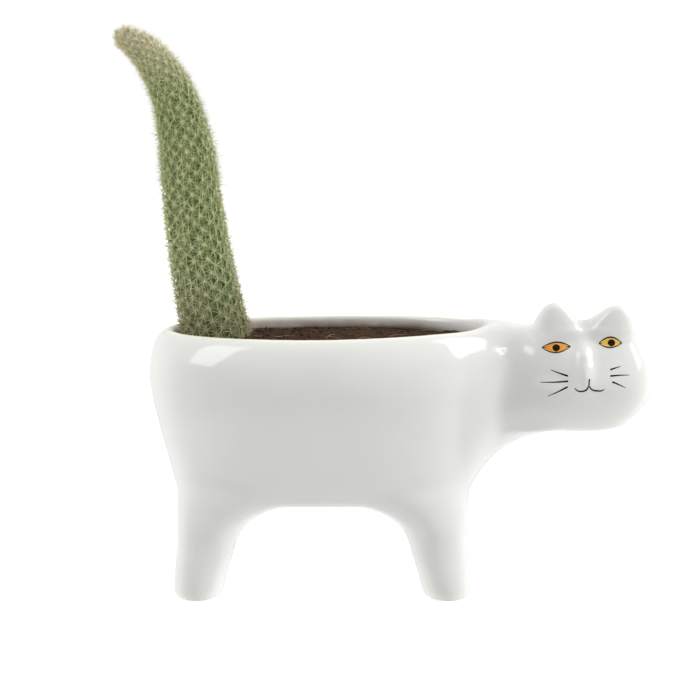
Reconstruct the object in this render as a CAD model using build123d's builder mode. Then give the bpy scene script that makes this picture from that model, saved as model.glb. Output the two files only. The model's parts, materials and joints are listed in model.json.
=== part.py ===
from build123d import *
import os
from math import cos, radians, sin, sqrt, tau

# A cat-shaped planter in glazed white ceramic, planted with a columnar cactus that stands in for the
# cat's tail. Millimetres, +Z up, the cat's nose end towards +X and its face turned to -Y. The origin is
# on the floor, under the middle of the whole planted pot.

# Driving dimensions of the pot
pot_length = 158.0
rim_height = 80.0
body_width = 66.0
trunk_length = 110.6
belly_height = 27.5
wall = 4.0
floor_thickness = 4.5
lip_thickness = 3.0
cut_overrun = 10.0

# Legs, measured at the sole
leg_length = 15.4
leg_width = 16.2
leg_spacing = 77.0
leg_track = 39.6

# Head, neck and ears
head_width = 44.6
head_depth = 35.0
head_height = 33.7
chin_height = 49.5
head_turnout = 9.0
neck_start = 28.0
neck_end = 76.0
ear_base_height = 79.0
ear_left_height = 9.6
ear_right_height = 10.4
ear_width = 18.4
ear_depth = 9.0
ear_left_x = 9.0
ear_right_x = -9.5
ear_setback = 2.5

# Fired-on enamel of the face, with places measured from the middle of the head
enamel_gap = 0.03
enamel_thickness = 0.15
eye_height = 3.4
eye_left_width = 7.0
eye_right_width = 8.4
eye_left_x = 5.2
eye_left_z = 78.6
eye_right_x = -10.9
eye_right_z = 77.0
eye_tilt = 7.0
pupil_radius = 1.1
brush_width = 0.45
mouth_x = -1.0
mouth_z = 65.9
mouth_width = 8.9
mouth_drop = 1.6
lip_line_height = 2.2
whisker_root = 0.7
whisker_tip = 0.2
whisker_length = 7.0
whisker_left_x = 5.6
whisker_right_x = -7.1
whisker_left_z = 69.0
whisker_right_z = 67.3
whisker_pitch = 1.75

# Drain
drain_radius = 5.0
plug_clearance = 0.05
plug_seat_gap = 0.1
plug_recess = 0.6
plug_flange_radius = 8.0
plug_flange_thickness = 1.8
plug_flange_chamfer = 0.9
mesh_radius = 12.0
mesh_thickness = 0.8
mesh_pitch = 2.2
mesh_bar = 0.8
mesh_holes_across = 7

# Filling
stone_size = 6.0
stone_pitch = 7.0
stone_chamfer = 1.7
stone_seat_gap = 0.1
soil_gap = 0.3
soil_depth_below_rim = 4.6
root_ball_radius = 10.0
root_ball_base_radius = 7.5
root_ball_depth = 26.0
root_fillet = 2.0
root_gap = 0.3

# Cactus
tail_reach = 63.5
tail_height = 96.0
tail_root_x = -33.5
stem_radius = 9.0
spine_length = 3.6
spine_radius = 0.32
spine_sink = 0.8

# Shapes, as shares of the sizes above
# Trunk: height above the belly, rear reach, front reach, half width, fullness of the rear and front corners
trunk_shares = (
    (0.000, 0.60, 0.60, 0.46, 0.74, 0.74),
    (0.025, 0.72, 0.72, 0.62, 0.74, 0.74),
    (0.085, 0.81, 0.80, 0.76, 0.74, 0.74),
    (0.220, 0.87, 0.87, 0.85, 0.74, 0.74),
    (0.400, 0.93, 0.93, 0.92, 0.74, 0.74),
    (0.580, 0.975, 0.975, 0.98, 0.74, 0.68),
    (0.730, 1.000, 1.000, 1.00, 0.70, 0.60),
    (0.850, 0.985, 1.000, 0.985, 0.68, 0.56),
    (0.935, 0.958, 0.995, 0.945, 0.68, 0.53),
    (0.980, 0.930, 0.990, 0.895, 0.68, 0.50),
    (1.000, 0.905, 0.985, 0.855, 0.68, 0.50),
)
widest_share = -0.10
# Hollow: height above the floor, inset beyond the wall
hollow_shares = ((0.00, 1.5), (0.03, 0.7), (0.10, 0.2), (0.26, 0.0), (0.50, 0.0), (0.72, 0.0), (0.90, 0.0))
# Leg: height of the belly's, half length, half width, shift to the middle along and across
leg_shares = (
    (0.000, 0.350, 0.358, 0.000, 0.000),
    (0.036, 0.448, 0.444, 0.000, 0.000),
    (0.127, 0.500, 0.500, 0.020, 0.006),
    (0.400, 0.565, 0.530, 0.110, 0.037),
    (0.620, 0.610, 0.556, 0.195, 0.068),
    (0.800, 0.734, 0.610, 0.318, 0.123),
    (0.945, 0.974, 0.700, 0.487, 0.204),
    (1.127, 1.150, 0.760, 0.617, 0.280),
    (1.450, 1.070, 0.690, 0.630, 0.280),
    (1.900, 0.970, 0.620, 0.680, 0.360),
    (2.200, 0.840, 0.500, 0.750, 0.480),
)
# Head: height, half width, half depth and how far the row stands forward
head_shares = (
    (0.000, 0.20, 0.18, 0.00),
    (0.033, 0.50, 0.45, 0.00),
    (0.104, 0.76, 0.72, 0.01),
    (0.193, 0.90, 0.87, 0.02),
    (0.310, 0.99, 0.96, 0.04),
    (0.460, 1.00, 0.98, 0.04),
    (0.610, 0.945, 0.94, 0.01),
    (0.757, 0.87, 0.86, -0.01),
    (0.875, 0.74, 0.70, -0.02),
    (0.964, 0.47, 0.44, -0.02),
    (1.000, 0.15, 0.14, -0.02),
)
head_fullness_share = 0.64
# Neck: place along it, underside and top as shares of the rim's height, half width of the head's depth,
# sideways shift of the head's turnout
neck_shares = (
    (0.00, 0.480, 0.960, 0.46, 0.00),
    (0.25, 0.400, 0.985, 0.59, 0.00),
    (0.40, 0.430, 1.002, 0.585, 0.02),
    (0.55, 0.520, 1.010, 0.54, 0.13),
    (0.64, 0.556, 1.016, 0.51, 0.28),
    (0.77, 0.588, 1.025, 0.49, 0.50),
    (1.00, 0.615, 1.030, 0.47, 0.90),
)
# Ear: height, half width and half depth
ear_shares = (
    (0.00, 0.50, 0.50),
    (0.34, 0.41, 0.40),
    (0.58, 0.305, 0.32),
    (0.81, 0.18, 0.22),
    (0.95, 0.10, 0.13),
    (1.00, 0.03, 0.04),
)
# Eye: how far the upper and lower lids bow, of its height
eyelid_shares = (0.56, 0.44)
# Mouth: two bows from the middle, as places along the width and down the drop
mouth_left_shares = ((0.27, -0.85), (0.53, -0.65))
mouth_right_shares = ((-0.26, -1.00), (-0.47, -0.40))
# Whiskers: degrees of rise away from the mouth, length, step up from the middle one
whisker_left_shares = ((19, 0.45, 1.05), (3, 0.80, 0.0), (-23, 0.64, -1.05))
whisker_right_shares = ((21, 0.80, 0.95), (-2, 1.19, 0.0), (-26, 0.91, -0.95))
# Cactus: height and backward lean of points on its middle line
tail_shares = (
    (0.000, 0.00),
    (0.240, 0.16),
    (0.450, 0.25),
    (0.650, 0.32),
    (0.790, 0.45),
    (0.900, 0.63),
    (0.965, 0.80),
    (1.000, 0.93),
)
stem_taper_share = 0.10
stem_end_share = 0.985
rib_depth_share = 0.11
rib_crest_share = 0.14
stem_tip_power = 2.6
stem_ribs = 13
stem_levels = 26
spine_rise_share = 0.45
stone_turn = 37
stone_margin_share = 0.72

# Places worked out from the sizes
trunk_x = (tail_reach - (pot_length - trunk_length / 2)) / 2
half_length = trunk_length / 2
half_width = body_width / 2
trunk_height = rim_height - belly_height
floor_height = belly_height + floor_thickness
head_x = trunk_x + pot_length - half_length - head_width / 2
soil_height = rim_height - soil_depth_below_rim
stone_height = floor_height + mesh_thickness + stone_seat_gap
soil_floor = stone_height + stone_size + stone_seat_gap
root_x = trunk_x + tail_root_x
root_floor = soil_height - root_ball_depth


def trunk_size(level):
    """The trunk's row of shares at a share of its height, between the rows of the table."""
    for low, high in zip(trunk_shares, trunk_shares[1:]):
        if level <= high[0]:
            mix = (level - low[0]) / (high[0] - low[0])
            return [a + (b - a) * mix for a, b in zip(low[1:], high[1:])]
    return list(trunk_shares[-1][1:])


def egg_face(plane, widest, half, ends):
    """A closed oval: half as deep each way at its widest place, with an end and its fullness on each side."""
    with BuildSketch(plane) as oval:
        with BuildLine():
            for end, full in ends:
                Bezier((end, 0), (end, full * half), (widest + full * (end - widest), half), (widest, half))
            mirror(about=Plane.XZ)
        make_face()
    return oval.sketch


def plan_face(height, inset):
    """The trunk's plan at a height, drawn in by an inset all round."""
    rear, front, half, rear_full, front_full = trunk_size((height - belly_height) / trunk_height)
    ends = ((-rear * half_length + inset, rear_full), (front * half_length - inset, front_full))
    return egg_face(Plane((trunk_x, 0, height)), widest_share * half_length, half * half_width - inset, ends)


def hollow_form(gap):
    """The hollow of the trough from its floor to the rim, drawn in by a gap all round."""
    depth = rim_height - floor_height
    with BuildPart() as form:
        plans = []
        for level, extra in hollow_shares:
            plans.append(plan_face(floor_height + level * depth, wall * (1 + extra) + gap))
        loft(sections=[*plans, plan_face(rim_height, lip_thickness + gap)])
    return form.part


# Trunk: plans stacked from the belly to the rim
with BuildPart() as trunk:
    loft(sections=[plan_face(belly_height + row[0] * trunk_height, 0) for row in trunk_shares])

# Hollow of the trough, cut on upwards through the root of the neck
with BuildPart() as hollow:
    add(hollow_form(0))
    extrude(hollow.faces().sort_by(Axis.Z)[-1], amount=cut_overrun)

# One leg of the near rear corner, flaring into the belly
with BuildPart() as leg:
    for height, half_long, half_wide, along, across in leg_shares:
        centre = (
            trunk_x - leg_spacing / 2 + along * leg_length,
            -leg_track / 2 + across * leg_width,
            height * belly_height,
        )
        with BuildSketch(Plane(centre)):
            Ellipse(half_long * leg_length, half_wide * leg_width)
    loft()


def head_form(grown):
    """The head without its ears, grown all round by a length."""
    middle = chin_height + head_height / 2
    tall = head_height + 2 * grown
    with BuildPart() as form:
        sections = []
        for height, half_wide, half_deep, forward in head_shares:
            level = middle + (height - 0.5) * tall
            plane = Plane((head_x, -head_turnout - forward * head_depth, level))
            reach = half_wide * head_width / 2 + grown
            ends = ((-reach, head_fullness_share), (reach, head_fullness_share))
            sections.append(egg_face(plane, 0, half_deep * head_depth / 2 + grown, ends))
        loft(sections=sections)
    return form.part


# Neck: upright ovals from inside the chest to the middle of the head
with BuildPart() as neck:
    for place, under, over, half_wide, shift in neck_shares:
        x = trunk_x + neck_start + place * (neck_end - neck_start)
        middle = (under + over) / 2 * rim_height
        with BuildSketch(Plane((x, -shift * head_turnout, middle), x_dir=(0, 1, 0), z_dir=(1, 0, 0))):
            Ellipse(half_wide * head_depth, (over - under) / 2 * rim_height)
    loft()


def ear_form(x, tall):
    """A rounded three-cornered ear standing on the head."""
    with BuildPart() as form:
        sections = []
        for height, half_wide, half_deep in ear_shares:
            place = (head_x + x, -head_turnout + ear_setback, ear_base_height + height * tall)
            with BuildSketch(Plane(place), mode=Mode.PRIVATE) as section:
                Ellipse(half_wide * ear_width, half_deep * ear_depth)
            sections.append(section.sketch)
        loft(sections=sections)
    return form.part


# Ceramic pot: one hollow casting with its legs, neck, head and ears
far_leg = mirror(leg.part, about=Plane.XZ, mode=Mode.PRIVATE)
front_legs = [mirror(side, about=Plane.YZ.offset(trunk_x), mode=Mode.PRIVATE) for side in (leg.part, far_leg)]
ears = [ear_form(ear_left_x, ear_left_height), ear_form(ear_right_x, ear_right_height)]
with BuildPart() as ceramic_pot:
    add([trunk.part, neck.part, head_form(0), *ears, leg.part, far_leg, *front_legs])
    add(hollow.part, mode=Mode.SUBTRACT)
    with Locations((trunk_x, 0, floor_height)):
        Hole(drain_radius, depth=floor_thickness + cut_overrun)

# Each coat of enamel lies between two heads grown by a little, a hair off what is under it
enamel_coats = []
for coat in range(2):
    coat_floor = enamel_gap + coat * (enamel_gap + enamel_thickness)
    enamel_coats.append((head_form(coat_floor), head_form(coat_floor + enamel_thickness)))


def face_plane(x, z, tilt=0):
    """A plane through the middle of the head that looks out of the face."""
    across = (cos(radians(tilt)), 0, sin(radians(tilt)))
    return Plane((head_x + x, -head_turnout, z), x_dir=across, z_dir=(0, -1, 0))


def enamel(outlines, coat=0):
    """Enamel under some outlines drawn on the face, in the first or the second coat."""
    inside, outside = enamel_coats[coat]
    with BuildPart() as marks:
        for outline in outlines:
            extrude(outline, amount=head_depth)
        add(outside, mode=Mode.INTERSECT)
        add(inside, mode=Mode.SUBTRACT)
    return marks


def almond(plane, width, height):
    """An eye-shaped outline, pointed at both corners."""
    with BuildSketch(plane) as outline:
        with BuildLine():
            for bow, side in zip(eyelid_shares, (1, -1)):
                ThreePointArc((-width / 2, 0), (0, side * bow * height), (width / 2, 0))
        make_face()
    return outline.sketch


def eye(x, z, width):
    """Outline and iris of one eye, cut from one patch of enamel, and the pupil in a coat over them."""
    plane = face_plane(x, z, eye_tilt)
    patch = enamel([almond(plane, width, eye_height)]).part
    inner = almond(plane, width - 3 * brush_width, eye_height - 2 * brush_width)
    with BuildSketch(plane) as round_pupil:
        Circle(pupil_radius)
    with BuildPart() as outline:
        add(patch)
        extrude(inner, amount=head_depth, mode=Mode.SUBTRACT)
    with BuildPart() as iris:
        add(patch)
        extrude(inner, amount=head_depth, mode=Mode.INTERSECT)
    return outline, iris, enamel([round_pupil.sketch], coat=1)


def whisker(x, z, rise, length, side):
    """One tapered brush stroke that runs out over a cheek."""
    with BuildSketch(face_plane(x, z, side * rise)) as stroke:
        with BuildLine():
            Polyline(
                (0, whisker_root / 2),
                (side * length, whisker_tip / 2),
                (side * length, -whisker_tip / 2),
                (0, -whisker_root / 2),
                close=True,
            )
        make_face()
    return stroke.sketch


def whiskers(x, z, table, side):
    """The strokes of one cheek."""
    strokes = []
    for rise, length, step in table:
        strokes.append(whisker(x, z + step * whisker_pitch, rise, length * whisker_length, side))
    return enamel(strokes)


left_eye_outline, left_iris, left_pupil = eye(eye_left_x, eye_left_z, eye_left_width)
right_eye_outline, right_iris, right_pupil = eye(eye_right_x, eye_right_z, eye_right_width)
left_whiskers = whiskers(whisker_left_x, whisker_left_z, whisker_left_shares, 1)
right_whiskers = whiskers(whisker_right_x, whisker_right_z, whisker_right_shares, -1)

# Mouth: a short line down from the nose and a bow to each side
with BuildSketch(face_plane(mouth_x, mouth_z)) as mouth_stroke:
    with BuildLine():
        Line((0, lip_line_height), (0, 0))
        for bow in (mouth_left_shares, mouth_right_shares):
            ThreePointArc((0, 0), *[(along * mouth_width, down * mouth_drop) for along, down in bow])
    trace(line_width=brush_width)
mouth = enamel([mouth_stroke.sketch])

# Drain plug: a soft stopper whose flange lies under the belly
plug_flange_top = belly_height - plug_seat_gap
plug_flange_floor = plug_flange_top - plug_flange_thickness
with BuildPart() as drain_plug:
    with BuildSketch(Plane((trunk_x, 0, plug_flange_floor))):
        Circle(plug_flange_radius)
    extrude(amount=plug_flange_thickness)
    chamfer(drain_plug.edges().group_by(Axis.Z)[0], length=plug_flange_chamfer)
    with BuildSketch(Plane((trunk_x, 0, plug_flange_top))):
        Circle(drain_radius - plug_clearance)
    extrude(amount=floor_height - plug_recess - plug_flange_top)

# Drain mesh: a disc that keeps the gravel out of the hole
with BuildPart() as drain_mesh:
    with BuildSketch(Plane((trunk_x, 0, floor_height))):
        Circle(mesh_radius)
        with GridLocations(mesh_pitch, mesh_pitch, mesh_holes_across, mesh_holes_across):
            Rectangle(mesh_pitch - mesh_bar, mesh_pitch - mesh_bar, mode=Mode.SUBTRACT)
    extrude(amount=mesh_thickness)

# Gravel: one layer of chipped stones on the floor, each turned its own way
with BuildPart() as stone:
    Box(stone_size, stone_size, stone_size)
    chamfer(stone.edges(), length=stone_chamfer)

stone_margin = wall * (1 + hollow_shares[0][1]) + stone_margin_share * stone_size
stone_plan = plan_face(floor_height, stone_margin)
stone_reach = stone_plan.bounding_box()
stone_columns = int(stone_reach.size.X / stone_pitch) + 1
stone_rows = int(stone_reach.size.Y / stone_pitch) + 1
stone_middle = (stone_reach.min.X + stone_reach.max.X) / 2
stone_places = []
with GridLocations(stone_pitch, stone_pitch, stone_columns, stone_rows) as stone_grid:
    for count, place in enumerate(stone_grid.locations):
        x = stone_middle + place.position.X
        y = place.position.Y
        if stone_plan.face().is_inside(Vector(x, y, floor_height)):
            stone_places.append(Location((x, y, stone_height + stone_size / 2), (0, 0, stone_turn * count)))
with BuildPart() as gravel:
    with Locations(*stone_places):
        add(stone.part)

# Root ball: the plug of compost that the cactus was raised in
with BuildPart() as root_ball:
    with BuildSketch(Plane((root_x, 0, root_floor))):
        Circle(root_ball_base_radius)
    with BuildSketch(Plane((root_x, 0, soil_height))):
        Circle(root_ball_radius)
    loft()
    fillet(root_ball.edges().group_by(Axis.Z)[0], radius=root_fillet)

# Soil: fills the hollow over the gravel, with a pocket for the root ball
with BuildPart() as soil:
    add(hollow_form(soil_gap))
    split(bisect_by=Plane.XY.offset(soil_height), keep=Keep.BOTTOM)
    split(bisect_by=Plane.XY.offset(soil_floor), keep=Keep.TOP)
    with BuildSketch(Plane((root_x, 0, root_floor - root_gap))):
        Circle(root_ball_base_radius + root_gap)
    with BuildSketch(Plane((root_x, 0, soil_height))):
        Circle(root_ball_radius + root_gap)
    loft(mode=Mode.SUBTRACT)

# Cactus: a ribbed column that leans back and curls over at the tip
tail_lean = tail_reach + tail_root_x
tail_points = [(root_x - lean * tail_lean, 0, soil_height + rise * tail_height) for rise, lean in tail_shares]
tail_line = Spline(*tail_points)


def stem_size(place):
    """Radius of the stem at a share of its length."""
    return stem_radius * (1 - stem_taper_share * place) * sqrt(1 - place**stem_tip_power)


def stem_plane(place):
    """A plane across the stem at a share of its length, level where it meets the root ball."""
    along = tail_line % place if place else Vector(0, 0, 1)
    return Plane(tail_line @ place, x_dir=(0, 1, 0), z_dir=along)


def stem_outline(place):
    """Flat-crested ribs round the stem at a share of its length."""
    crest = stem_size(place)
    valley = crest * (1 - rib_depth_share)
    outline = []
    for rib in range(stem_ribs):
        for step, reach in ((-rib_crest_share, crest), (rib_crest_share, crest), (1 / 2, valley)):
            angle = tau * (rib + step) / stem_ribs
            outline.append((reach * cos(angle), reach * sin(angle)))
    return outline


with BuildPart() as spine:
    with BuildSketch(Plane.XY.offset(-spine_sink), mode=Mode.PRIVATE) as spine_foot:
        RegularPolygon(spine_radius, side_count=3)
    loft(sections=[spine_foot.sketch, Vertex(0, 0, spine_length)])

stem_sections = []
for level in range(stem_levels + 1):
    place = level / stem_levels * stem_end_share
    with BuildSketch(stem_plane(place)) as section:
        with BuildLine():
            Polyline(*stem_outline(place), close=True)
        make_face()
    stem_sections.append(section.sketch)

spine_places = []
for level in range(1, stem_levels):
    place = (level + 1 / 2) / stem_levels * stem_end_share
    plane = stem_plane(place)
    crest = stem_size(place) * cos(tau * rib_crest_share / stem_ribs)
    for rib in range(stem_ribs):
        angle = tau * rib / stem_ribs
        foot = plane.from_local_coords((crest * cos(angle), crest * sin(angle), 0))
        rise = plane.from_local_coords((0, 0, -crest * spine_rise_share))
        spine_places.append(Plane(foot, z_dir=foot - rise).location)

with BuildPart() as cactus_stem:
    loft(sections=stem_sections, ruled=True)
    with Locations(*spine_places):
        add(spine.part)

pieces = {
    "ceramic_pot": ceramic_pot,
    "left_eye_outline": left_eye_outline,
    "left_iris": left_iris,
    "left_pupil": left_pupil,
    "right_eye_outline": right_eye_outline,
    "right_iris": right_iris,
    "right_pupil": right_pupil,
    "mouth": mouth,
    "left_whiskers": left_whiskers,
    "right_whiskers": right_whiskers,
    "drain_plug": drain_plug,
    "drain_mesh": drain_mesh,
    "gravel": gravel,
    "soil": soil,
    "root_ball": root_ball,
    "cactus_stem": cactus_stem,
}
os.makedirs("parts", exist_ok=True)
for name, piece in pieces.items():
    piece.part.label = name
    export_step(piece.part, f"parts/{name}.step")
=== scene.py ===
"""Looks of the cat planter: a glazed casting, brushed enamel, potting mix and a spiny cactus for a tail."""
import json
import math

import bmesh
import bpy
import numpy as np
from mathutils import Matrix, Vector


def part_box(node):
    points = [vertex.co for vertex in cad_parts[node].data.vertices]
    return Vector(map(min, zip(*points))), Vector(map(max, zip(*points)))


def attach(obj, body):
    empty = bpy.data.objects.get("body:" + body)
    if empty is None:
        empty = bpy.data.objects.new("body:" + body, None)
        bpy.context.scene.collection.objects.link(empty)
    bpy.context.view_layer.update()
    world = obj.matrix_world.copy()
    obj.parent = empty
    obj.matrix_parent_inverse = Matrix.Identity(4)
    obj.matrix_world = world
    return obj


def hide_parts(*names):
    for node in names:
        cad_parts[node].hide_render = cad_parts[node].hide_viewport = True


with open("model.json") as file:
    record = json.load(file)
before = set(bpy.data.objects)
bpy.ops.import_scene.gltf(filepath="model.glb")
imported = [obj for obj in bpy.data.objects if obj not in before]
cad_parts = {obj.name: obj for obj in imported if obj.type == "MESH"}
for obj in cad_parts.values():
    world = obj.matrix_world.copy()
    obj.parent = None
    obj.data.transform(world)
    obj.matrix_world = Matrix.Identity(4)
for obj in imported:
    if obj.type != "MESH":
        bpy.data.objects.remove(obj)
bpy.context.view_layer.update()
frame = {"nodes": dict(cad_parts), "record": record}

import openvdb
from mathutils import Vector
from mathutils.bvhtree import BVHTree

# Shapes are worked out in millimetres and set down in metres
MM = 0.001
SEED = 7
random = np.random.default_rng(SEED)
draw = random.uniform
scene = bpy.context.scene


def frame_box(node):
    """Low and high corner of a solid's box."""
    return [np.array(corner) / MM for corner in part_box(node)]


# Places taken from the frame
soles = np.array([mount["pos_m"] for mount in frame["record"]["mounts"]]) / MM
TRUNK_X = soles[:, 0].mean()
pot_low, pot_high = frame_box("ceramic_pot")
soil_low, soil_high = frame_box("soil")
root_low, root_high = frame_box("root_ball")
ROOT_X = (root_low[0] + root_high[0]) / 2
ROOT_RADIUS = (root_high[0] - root_low[0]) / 2
ROOT_TALL = root_high[2] - root_low[2]

# The photograph's camera
IMAGE_SIZE = 700
FOCAL_PIXELS = 1274
SENSOR = 36
CLIP_START = 0.01
EYE = np.array([-11.1, -400, 137.4])
TILT = math.radians(9.15)

# Studio: floor and backdrop
STUDIO = 4000
STUDIO_SIDES = 48
BACKDROP_FOOT = -1
BACKDROP_GLOW = 1.03
# Glow of the floor at distances in metres
FLOOR_FADE = (0.15, 0.7)
FLOOR_GLOW = (0.3, 1)
# Light of the room by how far a direction points back, up or down
ROOM_SPAN = (-0.55, 0.35)
ROOM_LIGHT = (0, 0.9)
ROOF_SPAN = (0.35, 0.8)
ROOF_LIGHT = 0.72
TABLE_SPAN = (-0.25, -0.7)
TABLE_LIGHT = 1.3
# Softboxes: place, width and height in metres, watts, and whether the glaze mirrors it
LIGHTS_AIM = Vector((0, 0, 0.06))
SOFTBOXES = {
    "left_softbox": ((-0.88, -0.5, 0.95), (0.5, 0.8), 4.8, True),
    "right_softbox": ((1.04, -0.22, 0.78), (0.34, 0.9), 5.6, True),
    "left_panel": ((-1.24, -0.3, 0.25), (1.2, 1.1), 7, False),
    "right_panel": ((1.14, -0.52, 0.3), (1.1, 1), 9.2, False),
}

# Distance fields: how far they are trusted, and how they are blurred and meshed
FAR = 40
FLATTEST = 0.004
LEAST_LEVEL = 0.05
LEAST_STEEP = 0.02
BLUR_WIDTHS = 2.5
PUSHES = 3
LEAST_PUSH = 0.05

# Pot
RIM = 80
RIM_SPAN = (-10, 45)
RIM_RISE = (0.4, 1.3)
BELLY = 27.5
WALL = 4
LIP = 3
LIP_DEPTH = 8
LIP_UPRIGHT = 5
FLOOR = 32
DRAIN_RADIUS = 5
DRAIN_OVERRUN = 4
WIDEST_X = 1
POT_CELL = 0.8
POT_MARGIN = 3
# Trunk: height, rear reach, front reach, half width, squareness of the rear and of the front
TRUNK = (
    (24, 46.4, 46.8, 27.6, 3, 3),
    (32, 47.4, 47.8, 28.2, 2.9, 2.9),
    (39, 49.1, 49.6, 29.2, 2.8, 2.8),
    (48.5, 51.6, 51.9, 31.2, 2.65, 2.65),
    (58, 53.8, 53.9, 33.2, 2.55, 2.48),
    (65, 54.8, 55.3, 33.9, 2.45, 2.3),
    (70, 54.6, 55.3, 33.4, 2.4, 2.2),
    (73, 54.1, 55.2, 32.6, 2.35, 2.15),
    (76, 53.2, 55, 31.4, 2.25, 2.05),
    (78, 52.2, 54.8, 30.4, 2.2, 2),
    (80, 50.2, 54.5, 28.9, 2.2, 2),
)
# Leg: height, distance along and half length, distance across and half width
LEG_SQUARENESS = 2
LEG = (
    (-2, 38.5, 5.8, 20.4, 7.4),
    (0, 38.5, 7, 20.4, 8.8),
    (1, 38.5, 7.6, 20.4, 9.5),
    (3.5, 38.2, 7.9, 20.2, 9.7),
    (11, 36.8, 8.7, 19.5, 9.2),
    (17, 35.6, 9.4, 18.7, 9),
    (22, 34, 11, 17.8, 9.7),
    (26, 31.2, 13.6, 16.4, 10.4),
    (31, 28.5, 14, 14.8, 10.4),
    (36, 26, 12, 12.5, 8.5),
    (42, 24, 8, 10, 6),
)
# Neck: squareness above and below, then distance along, underside, top, half width, shift across
NECK_SQUARENESS = (3, 2.2)
NECK = (
    (28, 40.4, 71, 13, 0),
    (40, 33.6, 75, 18, 0),
    (45, 33.6, 77, 20.2, 0),
    (50, 36.7, 78.6, 19.6, -0.4),
    (55, 40.6, 79.4, 17.5, -0.5),
    (60, 44, 79.8, 16.1, -1.7),
    (64, 46.2, 79.8, 15.2, -3.6),
    (68, 48.2, 79.4, 14.2, -5.8),
    (72, 51, 78, 12.6, -8),
    (77, 56, 74, 9, -9.5),
    (80, 60, 70, 3, -9.5),
)
# Head: height, half width, half depth, shift across, and how far the cheek by the neck is drawn in
HEAD_X = 80.4
HEAD_SQUARENESS = 3
HEAD = (
    (48.8, 4, 3, -8, 0),
    (49.6, 8.6, 6.2, -8, 0.8),
    (51.1, 12.4, 8.8, -8.1, 2.4),
    (53.6, 15.8, 11.4, -8.3, 5),
    (56.5, 18.4, 13.3, -8.5, 7.4),
    (60, 20.4, 14.6, -8.7, 9),
    (65, 21.4, 15.2, -8.6, 9),
    (70, 21, 14.7, -8.1, 7.6),
    (75, 19.4, 13, -7.9, 5.2),
    (78, 17.6, 11.1, -8.1, 3.2),
    (80, 15.2, 9.2, -8.4, 1.6),
    (81.5, 12, 7, -8.8, 0.6),
    (82.5, 8, 4.4, -9.3, 0.2),
    (83, 2, 1.3, -9.6, 0),
)
# Ears: where the foot and the tip of each stand, and its height
EARS = ((72.6, 70.2, 11.4), (87.2, 89.4, 10.7))
EAR_BASE = 79
EAR_Y = (-12.8, -17.4)
EAR_SQUARENESS = 2.4
# Ear: share of its height, half width and half depth
EAR = (
    (-0.5, 4.5, 3),
    (0, 7, 5.8),
    (0.2, 7.2, 5.8),
    (0.4, 6.9, 5.4),
    (0.51, 6.4, 5),
    (0.64, 5.4, 4.3),
    (0.75, 4.3, 3.6),
    (0.86, 3.1, 2.8),
    (0.94, 2, 2),
    (1, 0.8, 0.8),
)
# Soft forms of face and neck: distance along, height, reach along and up, and how far they stand out
FACE_FRONT = -12
FACE_FADE = 2
FACE_FORMS = (
    (78.8, 71.2, 2.6, 6.5, 2),
    (79.2, 65, 7, 4.5, 0.4),
    (70, 63.4, 7, 4.5, -1.6),
    (53.8, 74, 3.2, 6, 0.75),
)
# Rounding where forms meet
BELLY_BLEND = 7
RIM_BLEND = 1.6
LEG_BLEND = 7
NECK_BLEND = 8
HEAD_BLEND = 6
EAR_BLEND = 4
LIP_BLEND = 1.8
FLOOR_BLEND = 6
EDGE_BLEND = 0.8
SKIN_SOFTNESS = 1
EAR_SOFTNESS = 0.5

# Face marks on an upright plane: distance right of the camera's axis, and height
FACE_Y = -26
PUPIL_RADIUS = 1.12
PUPIL_TALL = 1.05
PUPIL_END = 0.1
UPPER_LID = 0.42
LOWER_LID = 0.32
LID_START = 0.45
LID_ROUNDNESS = 0.9
LID_STRIDE = 3
LINE_END = 0.05
WEDGE = 0.16
WEDGE_MIDDLE = 0.75
MOUTH_WIDTH = 0.46
WHISKER_WIDTHS = (0.56, 0.392, 0.168)
WHISKER_BOW = 0.015
STROKE_STEPS = 25
# Enamel
IRIS_LIFT = 0.05
EYE_LIFT = 0.08
LINE_LIFT = 0.07
ENAMEL_SINK = 0.12
ENAMEL_DOME = 0.6
ENAMEL_ACROSS = 6
# Eyes: corner near the camera's axis, far corner, rise of the upper lid, fall of the lower one, pupil
EYES = {
    "right": ((57.1, 77.9), (65.5, 78.2), 1.4, 1.65, (61.3, 77.85)),
    "left": ((73.95, 79.2), (80.75, 79.25), 1.75, 1.3, (77.65, 79.35)),
}
# Whiskers: root and tip of each
WHISKERS = {
    "right": (((65, 69.3), (59.8, 71.2)), ((65.1, 67.7), (56.8, 67.4)), ((65, 66), (59.3, 63.2))),
    "left": (((77.6, 71.2), (80.6, 72.2)), ((77.7, 69.3), (83.3, 69.6)), ((78.3, 67.5), (82.4, 65.7))),
}
# Mouth: points of each stroke, and shares of the width there
MOUTH = (
    (((71.45, 68.4), (71.4, 67.3), (71.35, 66)), (1, 0.9, 0.8)),
    (((71.35, 66.3), (70.65, 65.1), (69.05, 64.6), (67.85, 64.9), (67.15, 65.6)), (0.6, 1, 1, 0.8, 0.4)),
    (((71.35, 66.3), (72.25, 65.2), (73.75, 64.8), (75.05, 64.8), (76.05, 65.2)), (0.6, 1, 1, 0.8, 0.4)),
)

# Potting mix, and its heap round the plant
SOIL_CELL = 0.7
SOIL_GAP = 0.3
SOIL_RISE = 1.5
SOIL_EDGE = 0.5
SOIL_MARGIN = (2, 6)
HEAP_HEIGHT = 1.2
HEAP_REACH = 7
# Lumps: height, size and shift of each layer, and the random lattice that they are read from
SOIL_LUMPS = ((0.45, 8, 3), (0.3, 2.6, 9), (0.2, 1.2, 5))
LATTICE = draw(-1, 1, (32, 32, 32))
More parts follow.
